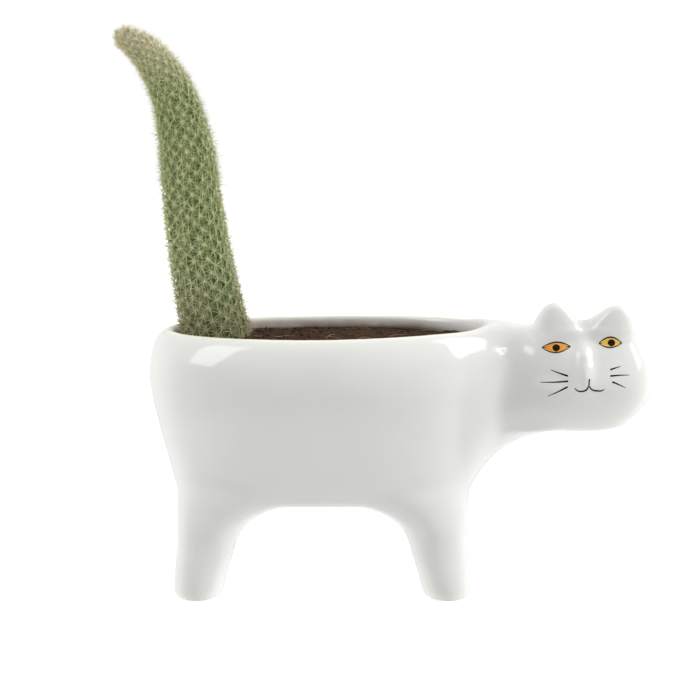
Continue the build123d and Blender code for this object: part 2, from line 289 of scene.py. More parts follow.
# Crumbs: least size and the most that is added, and how uneven each is
CRUMBS = 420
CRUMB_CLEAR = 1
CRUMB_SIZE = (0.3, 0.55)
CRUMB_LIFT = 0.1
CRUMB_ROUGH = (0.6, 1.25)
CRUMB_STRETCH = (0.6, 1.2)
GRAIN_POINTS = np.array([(0, 0, 1), (0, 0, -1), (1, 0, 0), (-1, 0, 0), (0, 1, 0), (0, -1, 0)], float)
GRAIN_FACES = ((0, 2, 4), (0, 4, 3), (0, 3, 5), (0, 5, 2), (1, 4, 2), (1, 3, 4), (1, 5, 3), (1, 2, 5))
# Fibres: clear space round the start and the line, and least and added lift
FIBRES = 16
FIBRE_STEPS = 11
FIBRE_LEAST_STEPS = 4
FIBRE_CLEAR = 2
FIBRE_EDGE = 0.8
FIBRE_BEND = 0.12
FIBRE_STEP = (0.5, 1.1)
FIBRE_LIFT = (0.25, 0.9)
FIBRE_RADIUS = 0.11
# Threads of all kinds, and a direction that none follows
THREAD_SIDES = 5
THREAD_END = 0.35
THREAD_TURN = 0.15
THREAD_ACROSS = (0.13, 0.31, 0.94)

# Root ball: its profile in shares of radius and height, and its dents
ROOT_END = 0.75 * ROOT_RADIUS
BALL_FOOT = [(0.02, 0), (0.6, 0), (0.95, 0.03)]
BALL_SIDE = (0.08, 0.95)
BALL_TOP = [(0.96, 0.985), (0.6, 1), (0.02, 1)]
BALL_RINGS = 40
BALL_AROUND = 96
BALL_DENT = 0.55
BALL_LUMPS = ((0.3, 3.5, 2), (0.25, 1.3, 8))
# Roots: where they start and end on the ball, and how they wander round and down it
ROOTS = 46
ROOT_STEPS = 16
ROOT_START = (0.55, 0.97)
ROOT_LOWEST = 0.04
ROOT_WANDER = (-0.09, 0.16)
ROOT_FALL = (0.01, 0.06)
ROOT_SINK = 0.35
ROOT_THICKNESS = (0.1, 0.22)

# Cactus: distance along the stem, place along the pot, height and radius
STEM = (
    (0, -53, 74.6, 10.5),
    (12, -55.2, 86.3, 9.8),
    (25, -57.3, 98.6, 9.2),
    (45, -60.1, 118.7, 8.4),
    (65.5, -62.2, 138.7, 7.4),
    (79, -65.4, 152, 6.1),
    (91.5, -71.3, 162.8, 4.9),
    (100.5, -77.6, 168.6, 3.5),
    (106, -82.6, 170.9, 2.3),
)
STEM_ACROSS = np.array([0.0, 1.0, 0.0])
STEM_LENGTH = STEM[-1][0]
STEM_TIP = 3
STEM_TIP_MOST = 0.999
STEM_STEP = 0.2
STEM_RINGS = 250
STEM_AROUND = 120
# Warts and their cushions
WART_ROWS = 48
WARTS_ROUND = 13
WART_HEIGHT = 0.7
WART_SHARPNESS = 1.5
WART_STRAY = 0.05
CUSHION = 0.42
CUSHION_SHRINK = 0.3
# Spines: some of each star stand up, the others lie flat
SPINES = 15
SPINE_LENGTH = 4.2
SPINE_SHARES = (1.05, 0.45)
SPINE_SPREAD = (0.7, 1.1)
SPINE_SWING = 0.35
SPINE_EVERY = 5
SPINE_FLAT = (0.12, 0.6)
SPINE_UPRIGHT = (0.9, 2.2)
SPINE_RADIUS = 0.14
SPINE_ACROSS = (0.36, 0.48, 0.8)
SPINE_FACES = ((2, 1, 0), (0, 1, 3), (1, 2, 3), (2, 0, 3))
# Tuft of spines at the tip
TUFT = 320
TUFT_DEPTH = 2.4
TUFT_AHEAD = (0.4, 1)
TUFT_STRAY = 0.5
TUFT_LENGTH = (0.3, 0.6)
# Wool round the foot
WOOL = 110
WOOL_TURN = (-1.5, 1)
WOOL_HEIGHT = 6
WOOL_SINK = 0.4
WOOL_LIFT = 0.4
WOOL_CLEAR = 0.8
WOOL_STEPS = 7
WOOL_STEP = 0.5
WOOL_OUT = 0.5
WOOL_STRAY = 0.6
WOOL_RADIUS = (0.09, 0.15)
WOOL_SIDES = 4

# Colours, as shares of red, green and blue
GLAZE_COLOURS = ((0.825, 0.822, 0.795), (0.84, 0.838, 0.812), (0.83, 0.832, 0.805))
BISQUE = (0.56, 0.51, 0.44)
LIP_CREAM = (0.92, 0.885, 0.77)
# Soil brown, used for the stain and painted shade on the trough's inner wall
SPLASH_AND_SHADE = (0.2, 0.115, 0.06)
DARK_COLOURS = ((0.012, 0.009, 0.008), (0.03, 0.02, 0.016))
IRIS_COLOURS = {
    "right": ((0.86, 0.34, 0.06), (0.97, 0.46, 0.10)),
    "left": ((0.86, 0.54, 0.10), (0.95, 0.66, 0.17)),
}
SOIL_COLOURS = ((0.022, 0.011, 0.007), (0.056, 0.029, 0.018), (0.105, 0.059, 0.037))
CRUMB_COLOURS = ((0.018, 0.011, 0.008), (0.06, 0.035, 0.022), (0.12, 0.075, 0.05))
FIBRE_COLOURS = ((0.16, 0.095, 0.05), (0.36, 0.25, 0.15))
WOOL_COLOURS = ((0.2, 0.14, 0.08), (0.62, 0.55, 0.38))
FLESH_COLOURS = ((0.055, 0.11, 0.022), (0.11, 0.19, 0.042))
FLESH_TIP = (0.46, 0.44, 0.28)
# Spines: tones up the plant, and shades that darken them
SPINE_TONES = (
    (0, (0.52, 0.44, 0.3)),
    (0.1, (0.76, 0.74, 0.5)),
    (0.3, (0.82, 0.87, 0.53)),
    (0.8, (0.74, 0.8, 0.45)),
    (1, (1, 0.94, 0.76)),
)
SPINE_SHADES = ((0.62, 0.6, 0.5), (1, 1, 0.95))
GRAVEL_COLOURS = ((0.16, 0.15, 0.14), (0.32, 0.3, 0.27), (0.45, 0.42, 0.38))
MESH_COLOURS = ((0.1, 0.13, 0.1), (0.17, 0.2, 0.16))
SILICONE_COLOURS = ((0.5, 0.5, 0.48), (0.62, 0.62, 0.6))
BACKDROP_COLOURS = ((0.98, 0.98, 0.98), (1, 1, 1))
FLOOR_COLOURS = ((0.93, 0.93, 0.925), (0.95, 0.95, 0.945))
# The middle of a noise, over which colours and gloss are spread
NOISE_MIDDLE = (0.3, 0.7)
# Where colours change: heights, distances below the rim and along the trunk
SOLE_BAND = (0.2, 0.7)
LIP_BAND = (-0.9, -0.3)
LIP_SPAN = (45.6, 51.6)
FLESH_BAND = (148, 170)
SPINE_BAND = (76, 172)
# Soil stain and painted shade on the wall, darker down towards the mix: shares of the trough's plan,
# heights, span along, and thickness
SPLASH_SHADE_EDGE = (0.985, 1.03)
SPLASH_SHADE_FOOT = (70.5, 72)
SPLASH_SHADE_TOP = (77.4, 80.6)
SPLASH_SHADE_SPAN = (30, 46)
SPLASH_SHADE_FADE = (1, 0.2)
SPLASH_SHADE_PATCHES = (0.8, 1)
SPLASH_SHADE_SHARE = 0.76
# Places of the colour sockets on a mixing node
MIX_FIRST, MIX_SECOND, MIX_RESULT = 6, 7, 2
# A reach in metres, so long that its axis never counts
ENDLESS = 4000


def curve(table, at):
    """A table's further columns as smooth functions of its first."""
    columns = np.array(table, float).T
    knots = columns[0]
    at = np.clip(at, knots[0], knots[-1])
    step = np.clip(np.searchsorted(knots, at) - 1, 0, len(knots) - 2)
    width = knots[step + 1] - knots[step]
    t = (at - knots[step]) / width
    out = []
    for values in columns[1:]:
        slopes = np.gradient(values, knots)
        out.append(
            (2 * t**3 - 3 * t**2 + 1) * values[step]
            + (t**3 - 2 * t**2 + t) * width * slopes[step]
            + (3 * t**2 - 2 * t**3) * values[step + 1]
            + (t**3 - t**2) * width * slopes[step + 1]
        )
    return out


def smooth_step(share):
    """A share from 0 to 1 that starts and ends gently."""
    return share**2 * (3 - 2 * share)


def unit(vectors):
    """Vectors made one long."""
    return vectors / np.linalg.norm(vectors, axis=-1, keepdims=True)


def join(a, b, blend):
    """Union of two fields with a fillet."""
    mix = np.clip(0.5 + (b - a) / (2 * blend), 0, 1)
    return b + (a - b) * mix - blend * mix * (1 - mix)


def carve(a, b, blend):
    """What two fields share, with a rounded edge."""
    return -join(-a, -b, blend)


def between(grid, corner, part):
    """A grid read part of the way from each corner to the next, starting over at its end."""
    total = 0
    for step in np.ndindex(2, 2, 2):
        weight = np.where(step, part, 1 - part).prod(axis=1)
        total = total + weight * grid[tuple(((corner + step) % grid.shape).T)]
    return total


class Field:
    """Evenly spaced samples in a box, and distances there."""

    def __init__(self, low, high, cell):
        self.low = np.array(low, float)
        self.cell = cell
        counts = np.ceil((np.array(high, float) - self.low) / cell).astype(int) + 1
        self.axes = [self.low[i] + cell * np.arange(counts[i]) for i in range(3)]
        self.x, self.y, self.z = np.meshgrid(*self.axes, indexing="ij", sparse=True)

    def distance(self, values, low=None, high=None):
        """A level function as a distance near its zero, never less than that to a box."""
        slope = np.gradient(values, self.cell)
        steep = np.sqrt(slope[0] ** 2 + slope[1] ** 2 + slope[2] ** 2)
        out = np.clip(values / np.maximum(steep, FLATTEST), -FAR, FAR)
        if low is not None:
            for axis, least, most in zip((self.x, self.y, self.z), low, high):
                out = np.maximum(out, np.maximum(least - axis, axis - most))
        return out

    def oval(self, along, across, half_long, half_wide, power, low=None, high=None):
        """Distance to an upright form of squarish ovals."""
        level = (np.abs(along) / half_long) ** power + (np.abs(across) / half_wide) ** power
        return self.distance(level ** (1 / power) - 1, low, high)

    def soften(self, values, reach):
        """The same field blurred over a reach."""
        half = math.ceil(BLUR_WIDTHS * reach / self.cell)
        weights = np.exp(-0.5 * (np.arange(-half, half + 1) * self.cell / reach) ** 2)
        weights /= weights.sum()
        for axis in range(3):
            padded = np.pad(values, [(half * (k == axis),) * 2 for k in range(3)], mode="edge")
            values = np.lib.stride_tricks.sliding_window_view(padded, len(weights), axis) @ weights
        return values

    def sample(self, grid, points):
        """A grid read between its samples at some points."""
        place = (points - self.low) / self.cell
        corner = np.clip(np.floor(place).astype(int), 0, np.array(grid.shape) - 2)
        return between(grid, corner, place - corner)

    def mesh(self, name, values):
        """The zero level as an object, its points drawn onto the level."""
        grid = openvdb.FloatGrid(background=float(values.max()))
        grid.copyFromArray(np.ascontiguousarray(values, dtype=np.float32))
        points, quads = grid.convertToQuads(isovalue=0.0)
        points = self.low + self.cell * np.array(points, float)
        slope = np.gradient(values, self.cell)
        for _ in range(PUSHES):
            push = np.stack([self.sample(part, points) for part in slope], 1)
            step = self.sample(values, points) / np.maximum((push**2).sum(1), LEAST_PUSH)
            points -= np.clip(step, -self.cell, self.cell)[:, None] * push
        return mesh_object(name, points, quads[:, ::-1], closed=True)


def mesh_object(name, points, faces, smooth=True, closed=False):
    """An object from points and faces, turned outwards where it is closed."""
    mesh = bpy.data.meshes.new(name)
    faces = [list(map(int, face)) for face in faces]
    mesh.from_pydata((np.asarray(points) * MM).tolist(), [], faces)
    mesh.validate()
    if closed:
        shape = bmesh.new()
        shape.from_mesh(mesh)
        bmesh.ops.recalc_face_normals(shape, faces=shape.faces[:])
        shape.to_mesh(mesh)
        shape.free()
    mesh.polygons.foreach_set("use_smooth", [smooth] * len(mesh.polygons))
    piece = bpy.data.objects.new(name, mesh)
    scene.collection.objects.link(piece)
    return piece


def dress(piece, colour, body, node=None):
    """A piece's material, slot, body and the solid that it replaces."""
    piece.data.materials.append(colour)
    if node:
        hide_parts(node)
    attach(piece, body)


def add_piece(name, parts, colour, body, node=None, smooth=True):
    """A closed and dressed piece of several parts."""
    points = []
    faces = []
    count = 0
    for some_points, some_faces in parts:
        points.append(some_points)
        faces.extend([[count + k for k in face] for face in some_faces])
        count += len(some_points)
    dress(mesh_object(name, np.concatenate(points), faces, smooth, closed=True), colour, body, node)


def tube_faces(rings, around):
    """Faces of a tube of rings: both caps, then the quads."""
    grid = np.arange(rings * around).reshape(rings, around)
    ahead = np.roll(grid, -1, axis=1)
    quads = np.stack([grid[:-1], ahead[:-1], ahead[1:], grid[1:]], axis=-1)
    return [grid[0, ::-1].tolist(), grid[-1].tolist(), *quads.reshape(-1, 4).tolist()]


def thread(points, radius, sides=THREAD_SIDES):
    """A thin closed tube that thins at both ends."""
    points = np.array(points, float)
    along = unit(np.gradient(points, axis=0))
    side = unit(np.cross(along, THREAD_ACROSS))
    up = np.cross(side, along)
    turn = np.linspace(0, math.tau, sides, endpoint=False)
    swell = np.sin(np.linspace(THREAD_TURN, math.pi - THREAD_TURN, len(points)))
    taper = radius * (THREAD_END + (1 - THREAD_END) * swell)
    away = side[:, None] * np.cos(turn)[:, None] + up[:, None] * np.sin(turn)[:, None]
    rings = points[:, None] + taper[:, None, None] * away
    return rings.reshape(-1, 3), tube_faces(len(points), sides)


def lumps(points, layers):
    """Smooth random swellings of several sizes."""
    total = np.zeros(len(points))
    for height, size, shift in layers:
        place = points / size + shift
        corner = np.floor(place).astype(int)
        total += height * between(LATTICE, corner, smooth_step(place - corner))
    return total


def metres(places, start=0.0):
    """Places in millimetres from a start, in metres."""
    return [(start + place) * MM for place in places]


class Nodes:
    """The nodes of a material or of the world."""

    def __init__(self, tree):
        self.tree = tree

    def feed(self, socket, value):
        """A socket linked to another, or set to a value."""
        if isinstance(value, bpy.types.NodeSocket):
            self.tree.links.new(value, socket)
        else:
            socket.default_value = (*value, 1) if socket.type == "RGBA" else value

    def add(self, kind, inputs, output, **settings):
        """One output of a new node with its settings, and its inputs fed."""
        node = self.tree.nodes.new("ShaderNode" + kind)
        for name, value in settings.items():
            setattr(node, name, value)
        for name, value in inputs.items():
            self.feed(node.inputs[name], value)
        return node.outputs[output]

    def range(self, value, span, result, blend="SMOOTHSTEP"):
        """A value carried from one span to another."""
        inputs = dict(zip(("Value", "From Min", "From Max", "To Min", "To Max"), (value, *span, *result)))
        return self.add("MapRange", inputs, "Result", interpolation_type=blend)


class Paint(Nodes):
    """A procedural material of patchy colour, gloss and relief."""

    def __init__(self, name):
        self.material = bpy.data.materials.new(name)
        self.material.use_nodes = True
        super().__init__(self.material.node_tree)
        self.shader = self.tree.nodes["Principled BSDF"]
        self.where = self.add("TexCoord", {}, "Object")

    def set(self, name, value):
        """One of the shader's own sockets."""
        self.feed(self.shader.inputs[name], value)

    def noise(self, size, detail=3.0, rough=0.55):
        """A noise with patches of about a size in millimetres."""
        inputs = {"Vector": self.where, "Scale": 1 / (size * MM), "Detail": detail, "Roughness": rough}
        return self.add("TexNoise", inputs, "Fac")

    def axis(self, name):
        """A coordinate in metres."""
        return self.add("SeparateXYZ", {"Vector": self.where}, name)

    def from_middle(self, middle=(0, 0, 0), reach=(1, 1, 1)):
        """Distance from a middle, as a share of a reach along each axis."""
        inputs = {"Vector": self.where, "Location": middle, "Scale": reach}
        place = self.add("Mapping", inputs, "Vector", vector_type="TEXTURE")
        return self.add("VectorMath", {0: place}, "Value", operation="LENGTH")

    def ramp(self, value, stops):
        """A value turned into a colour by stops."""
        node = self.tree.nodes.new("ShaderNodeValToRGB")
        elements = node.color_ramp.elements
        while len(elements) < len(stops):
            elements.new(0.5)
        for element, (place, colour) in zip(elements, stops):
            element.position = place
            element.color = (*colour, 1)
        self.tree.links.new(value, node.inputs["Fac"])
        return node.outputs["Color"]

    def patches(self, colours, size, detail=3.0, rough=0.55):
        """Colours in patches of about a size."""
        places = np.linspace(*NOISE_MIDDLE, len(colours)).tolist()
        return self.ramp(self.noise(size, detail, rough), list(zip(places, colours)))

    def mix(self, share, first, second, blend="MIX"):
        """Two colours mixed by a share."""
        inputs = {"Factor": share, MIX_FIRST: first, MIX_SECOND: second}
        return self.add("Mix", inputs, MIX_RESULT, data_type="RGBA", blend_type=blend)

    def work(self, operation, first, second):
        """Two values worked into one."""
        return self.add("Math", {0: first, 1: second}, "Value", operation=operation)

    def product(self, first, *others):
        """Several values multiplied."""
        for other in others:
            first = self.work("MULTIPLY", first, other)
        return first

    def gloss(self, size, least, most):
        """Roughness from least to most, in patches of about a size."""
        self.set("Roughness", self.range(self.noise(size), NOISE_MIDDLE, (least, most)))

    def relief(self, height, size, detail=3.0):
        """Lumps of a height and about a size in millimetres."""
        inputs = {"Strength": 1.0, "Distance": height * MM, "Height": self.noise(size, detail)}
        self.set("Normal", self.add("Bump", inputs, "Normal"))


def glaze():
    """White glaze, thin and warm on the lip, stained by soil and darkened with painted shade inside the
    trough, and wiped off the soles.
    """
    paint = Paint("glaze")
    along = paint.axis("X")
    height = paint.axis("Z")
    rise = paint.range(along, metres(RIM_SPAN, TRUNK_X), metres(RIM_RISE))
    lip = paint.range(paint.work("SUBTRACT", height, rise), metres(LIP_BAND, RIM), (0.0, 1.0))
    on_trough = paint.range(along, metres(LIP_SPAN, TRUNK_X), (1.0, 0.0))
    sole = paint.range(height, metres(SOLE_BAND), (1.0, 0.0))
    white = paint.patches(GLAZE_COLOURS, size=22.0)
    edged = paint.mix(paint.product(lip, on_trough), white, LIP_CREAM)
    # Painted shade and soil stain on the inner wall, fading out towards the rim
    soiled_and_shaded = paint.mix(soil_splash_and_shade(paint, along, height), edged, SPLASH_AND_SHADE)
    paint.set("Base Color", paint.mix(sole, soiled_and_shaded, BISQUE))
    paint.gloss(size=9.0, least=0.05, most=0.1)
    paint.relief(height=0.05, size=14.0, detail=1.0)
    paint.set("IOR", 1.5)
    return paint.material


def soil_splash_and_shade(paint, along, height):
    """How thickly soil stain and painted shade cover the inside of the wall, least by the head."""
    rear, front, half = TRUNK[-1][1:4]
    middle = (TRUNK_X + (front - rear) / 2, 0, 0)
    reach = (*metres(((front + rear - LIP) / 2, half - LIP / 2)), ENDLESS)
    inside = paint.range(paint.from_middle(metres(middle), reach), SPLASH_SHADE_EDGE, (1.0, 0.0))
    low = paint.range(height, metres(SPLASH_SHADE_FOOT), (0.0, 1.0))
    high = paint.range(height, metres(SPLASH_SHADE_TOP), (SPLASH_SHADE_SHARE, 0.0))
    near = paint.range(along, metres(SPLASH_SHADE_SPAN, TRUNK_X), SPLASH_SHADE_FADE)
    patchy = paint.range(paint.noise(size=6.0), NOISE_MIDDLE, SPLASH_SHADE_PATCHES)
    return paint.product(inside, near, patchy, low, high)


def dark_enamel():
    """Brushed on black brown enamel."""
    paint = Paint("dark_enamel")
    paint.set("Base Color", paint.patches(DARK_COLOURS, size=0.7))
    paint.gloss(size=0.5, least=0.14, most=0.3)
    paint.set("Specular IOR Level", 0.2)
    return paint.material


def iris_enamel(side):
    """Amber enamel with streaks of the brush."""
    paint = Paint(side + "_iris_enamel")
    paint.set("Base Color", paint.patches(IRIS_COLOURS[side], size=1.4))
    paint.gloss(size=0.6, least=0.12, most=0.25)
    return paint.material


def potting_mix(name, colours):
    """Peat and bark."""
    paint = Paint(name)
    paint.set("Base Color", paint.patches(colours, size=1.6, detail=5.0, rough=0.7))
    paint.gloss(size=0.8, least=0.75, most=1.0)
    paint.relief(height=0.3, size=0.6, detail=4.0)
    paint.set("Specular IOR Level", 0.06)
    return paint.material


def dry_fibre(name, colours):
    """Straw coloured fibre."""
    paint = Paint(name)
    paint.set("Base Color", paint.patches(colours, size=2.0))
    paint.gloss(size=0.7, least=0.6, most=0.9)
    return paint.material


def cactus_flesh():
    """Green flesh, paler and yellower to the tip."""
    paint = Paint("cactus_flesh")
    tip = paint.range(paint.axis("Z"), metres(FLESH_BAND), (0.0, 0.95))
    paint.set("Base Color", paint.mix(tip, paint.patches(FLESH_COLOURS, size=3.0), FLESH_TIP))
    paint.gloss(size=1.0, least=0.45, most=0.7)
    paint.relief(height=0.1, size=0.8)
    return paint.material


def spine_colour(name):
    """Pale spines, brown at the foot of the plant and cream at its tip."""
    paint = Paint(name)
    height = paint.range(paint.axis("Z"), metres(SPINE_BAND), (0.0, 1.0), "LINEAR")
    shade = paint.patches(SPINE_SHADES, size=1.2)
    paint.set("Base Color", paint.mix(1.0, paint.ramp(height, SPINE_TONES), shade, "MULTIPLY"))
    paint.gloss(size=1.0, least=0.4, most=0.65)
    return paint.material


def gravel():
    """Grey river gravel."""
    paint = Paint("gravel")
    paint.set("Base Color", paint.patches(GRAVEL_COLOURS, size=3.5, detail=5.0))
    paint.gloss(size=1.0, least=0.6, most=0.9)
    paint.relief(height=0.2, size=0.9, detail=4.0)
    return paint.material


def mesh_plastic():
    """Grey green woven plastic."""
    paint = Paint("mesh_plastic")
    paint.set("Base Color", paint.patches(MESH_COLOURS, size=2.5))
    paint.gloss(size=0.8, least=0.35, most=0.6)
    paint.relief(height=0.08, size=0.7)
    return paint.material


def silicone():
    """Milky silicone rubber."""
    paint = Paint("silicone")
    paint.set("Base Color", paint.patches(SILICONE_COLOURS, size=4.0))
    paint.gloss(size=1.5, least=0.4, most=0.6)
    paint.relief(height=0.03, size=0.9)
    return paint.material


def backdrop_paper():
    """White paper all round, lit by itself."""
    paint = Paint("backdrop_paper")
    paint.set("Emission Color", paint.patches(BACKDROP_COLOURS, size=400.0))
    paint.set("Base Color", (0, 0, 0))
    paint.set("Emission Strength", BACKDROP_GLOW)
    return paint.material


def floor_paper():
    """White seamless paper."""
    paint = Paint("floor_paper")
    paint.set("Base Color", paint.patches(FLOOR_COLOURS, size=60.0))
    paint.set("Roughness", 0.7)
    paint.set("Emission Color", (1, 1, 1))
    paint.set("Emission Strength", paint.range(paint.from_middle(), FLOOR_FADE, FLOOR_GLOW))
    return paint.material


def over_rim(field):
    """Height over the rim, which rises towards the head."""
    share = np.clip((field.x - TRUNK_X - RIM_SPAN[0]) / (RIM_SPAN[1] - RIM_SPAN[0]), 0, 1)
    rise = RIM_RISE[0] + (RIM_RISE[1] - RIM_RISE[0]) * smooth_step(share)
    return field.z - rise - RIM


def plan_distance(field, height, inset):
    """Distance to the trunk's plan at each height, drawn in by an inset."""
    rear, front, half, rear_power, front_power = curve(TRUNK, height)
    along = field.x - TRUNK_X - WIDEST_X
    reach = np.where(along < 0, rear + WIDEST_X, front - WIDEST_X)
    power = np.where(along < 0, rear_power, front_power)
    return field.oval(along, field.y, reach, half, power) + inset


def section_distance(u, v, half_u, half_v, power):
    """Distance to a squarish section, from shares of its half widths."""
    u = np.abs(u)
    v = np.abs(v)
    level = np.maximum((u**power + v**power) ** (1 / power), LEAST_LEVEL)
    steep = np.hypot(u ** (power - 1) / half_u, v ** (power - 1) / half_v) * level ** (1 - power)
    return (level - 1) / np.maximum(steep, LEAST_STEEP)


def leg_distance(field):
    """All four legs, by the distance across each level."""
    along, half_long, across, half_wide = curve(LEG, field.z)
    u = (np.abs(field.x - TRUNK_X) - along) / half_long
    v = (np.abs(field.y) - across) / half_wide
    return np.maximum(section_distance(u, v, half_long, half_wide, LEG_SQUARENESS), field.z - LEG[-1][0])


def neck_distance(field):
    """The neck, by the distance across each section."""
    x = field.x - TRUNK_X
    under, over, half_wide, shift = curve(NECK, x)
    half_tall = (over - under) / 2
    u = (field.y - shift) / half_wide
    v = (field.z - (under + over) / 2) / half_tall
    sides = section_distance(u, v, half_wide, half_tall, np.where(v > 0, *NECK_SQUARENESS))
    return np.maximum(sides, np.maximum(NECK[0][0] - x, x - NECK[-1][0]))


def head_distance(field):
    """The head, without ears."""
    half_wide, half_deep, shift, drawn_in = curve(HEAD, field.z)
    along = field.x - TRUNK_X - HEAD_X
    reach = np.where(along < 0, half_wide - drawn_in, half_wide)
    widest = max(row[1] for row in HEAD)
    low = (TRUNK_X + HEAD_X - widest, min(row[3] - row[2] for row in HEAD), HEAD[0][0])
    high = (TRUNK_X + HEAD_X + widest, max(row[3] + row[2] for row in HEAD), HEAD[-1][0])
    return field.oval(along, field.y - shift, reach, half_deep, HEAD_SQUARENESS, low, high)


def ear_distance(field, foot, tip, tall):
    """One ear on the head, leaning from its foot to its tip."""
    share = (field.z - EAR_BASE) / tall
    half_wide, half_deep = curve(EAR, share)
    rise = np.clip(share, 0, 1)
    along = field.x - (TRUNK_X + foot + (tip - foot) * rise)
    across = field.y - (EAR_Y[0] + (EAR_Y[1] - EAR_Y[0]) * rise)
    widest, deepest = (max(row[column] for row in EAR) for column in (1, 2))
    low = (TRUNK_X + min(foot, tip) - widest, min(EAR_Y) - deepest, EAR_BASE + EAR[0][0] * tall)
    high = (TRUNK_X + max(foot, tip) + widest, max(EAR_Y) + deepest, EAR_BASE + tall)
    return field.oval(along, across, half_wide, half_deep, EAR_SQUARENESS, low, high)


def pot_outside(field):
    """The casting's outer skin, before it is hollowed."""
    height = over_rim(field)
    trunk = carve(plan_distance(field, RIM + height, 0), BELLY - field.z, BELLY_BLEND)
    whole = carve(trunk, height, RIM_BLEND)
    whole = join(whole, leg_distance(field), LEG_BLEND)
    whole = join(whole, neck_distance(field), NECK_BLEND)
    whole = field.soften(join(whole, head_distance(field), HEAD_BLEND), SKIN_SOFTNESS)
    for foot, tip, tall in EARS:
        whole = join(whole, ear_distance(field, foot, tip, tall), EAR_BLEND)
    whole = field.soften(whole, EAR_SOFTNESS)
    front = 1 / (1 + np.exp((field.y - FACE_FRONT) / FACE_FADE))
    for along, middle, reach_along, reach_up, out in FACE_FORMS:
        u = (field.x - TRUNK_X - along) / reach_along
        v = (field.z - middle) / reach_up
        whole = whole - out * np.exp(-(u**2) - v**2) * front
    return whole


def hollow_distance(field, gap):
    """The trough, drawn in by a gap all round."""
    height = over_rim(field)
    lip = np.clip(1 + height / LIP_DEPTH, 0, 1)
    inset = WALL + (LIP - WALL) * lip + gap
    sides = plan_distance(field, RIM + np.minimum(height + LIP_UPRIGHT * lip, 0), inset)
    return carve(sides, FLOOR + gap - field.z, FLOOR_BLEND)


def build_pot():
    """The whole casting: skin, trough, drain hole and flat soles."""
    field = Field(pot_low - POT_MARGIN, pot_high + POT_MARGIN, POT_CELL)
    pot = carve(pot_outside(field), -hollow_distance(field, 0), LIP_BLEND)
    drain = np.hypot(field.x - TRUNK_X, field.y) - DRAIN_RADIUS
    drain = np.maximum(drain, field.z - FLOOR - DRAIN_OVERRUN)
    pot = carve(pot, -drain, EDGE_BLEND)
    pot = carve(pot, -field.z, EDGE_BLEND)
    piece = field.mesh("ceramic_body", pot)
    dress(piece, glaze(), "planter", "ceramic_pot")
    return piece


def cast(skin, points):
    """Points of the face plane cast onto the glaze as the camera sees them, and its normals."""
    hits = []
    for along, height in points:
        aim = np.array([EYE[0] + along, FACE_Y, height])
        hits.append(skin.ray_cast(Vector(EYE * MM), Vector(aim - EYE).normalized())[:2])
    spots, normals = np.array(hits).swapaxes(0, 1)
    return spots / MM, normals


def enamel_coat(skin, low_edge, high_edge, lift):
    """A thin closed coat between two edges, domed across."""
    shares = np.linspace(0, 1, ENAMEL_ACROSS + 1)
    flat = low_edge[:, None] * (1 - shares)[:, None] + high_edge[:, None] * shares[:, None]
    spots, normals = cast(skin, flat.reshape(-1, 2))
    dome = np.tile(1 - ENAMEL_DOME * (2 * shares - 1) ** 4, len(low_edge))
    top = spots + normals * (lift * dome)[:, None]
    under = spots - normals * ENAMEL_SINK
    grid = np.arange(len(top)).reshape(len(low_edge), len(shares))
    quads = np.stack([grid[:-1, :-1], grid[:-1, 1:], grid[1:, 1:], grid[1:, :-1]], axis=-1).reshape(-1, 4)
    ring = [*grid[:, 0], *grid[-1, 1:], *grid[-2::-1, -1], *grid[0, -2:0:-1]]
    edges = [(b, a, len(top) + a, len(top) + b) for a, b in zip(ring, ring[1:] + ring[:1])]
    return np.concatenate([top, under]), [*quads, *(len(top) + quads[:, ::-1]), *edges]


def stroke(points, widths):
    """Both edges of a brush stroke along a smooth line."""
    points = np.array(points, float)
    run = np.concatenate([[0], np.cumsum(np.hypot(*np.diff(points, axis=0).T))])
    table = np.column_stack([run, points, widths])
    along, height, width = curve(table, np.linspace(0, run[-1], STROKE_STEPS))
    turn = np.column_stack([-np.gradient(height), np.gradient(along)])
    turn /= np.hypot(*turn.T)[:, None]
    middle = np.column_stack([along, height])
    return middle - turn * width[:, None] / 2, middle + turn * width[:, None] / 2


def eyelids(near, far, top, bottom):
    """The lower and upper lid of an almond eye between two corners."""
    shares = np.linspace(0, 1, STROKE_STEPS)
    bulge = np.sin(math.pi * shares) ** LID_ROUNDNESS
    line = np.outer(1 - shares, near) + np.outer(shares, far)
    up = np.array([0, 1.0])
    return line - np.outer(bulge * bottom + LINE_END, up), line + np.outer(bulge * top + LINE_END, up)


def lid_line(lid, width):
    """A lid's stroke, thinner at its ends."""
    points = lid[::LID_STRIDE]
    swell = np.sin(math.pi * np.linspace(0, 1, len(points)))
    return stroke(points, LINE_END + width * (LID_START + (1 - LID_START) * swell))


def corner_wedge(corner, inward):
    """A short stroke that fills a corner of the eye."""
    start = np.array(corner) + WEDGE * (np.array(inward) - corner)
    return stroke([start, (start + corner) / 2, corner], [LINE_END, WEDGE_MIDDLE * UPPER_LID, UPPER_LID])


def pupil_disc(middle):
    """The lower and upper edge of a pupil."""
    turn = np.linspace(math.pi - PUPIL_END, PUPIL_END, STROKE_STEPS)
    along = middle[0] + PUPIL_RADIUS * np.cos(turn)
    reach = PUPIL_RADIUS * PUPIL_TALL * np.sin(turn)
    return np.column_stack([along, middle[1] - reach]), np.column_stack([along, middle[1] + reach])


def whisker(root, tip):
    """A slightly bowed stroke from thick root to thin tip."""
    root = np.array(root)
    tip = np.array(tip)
    bow = WHISKER_BOW * np.array([root[1] - tip[1], tip[0] - root[0]])
    return stroke([root, (root + tip) / 2 + bow, tip], WHISKER_WIDTHS)


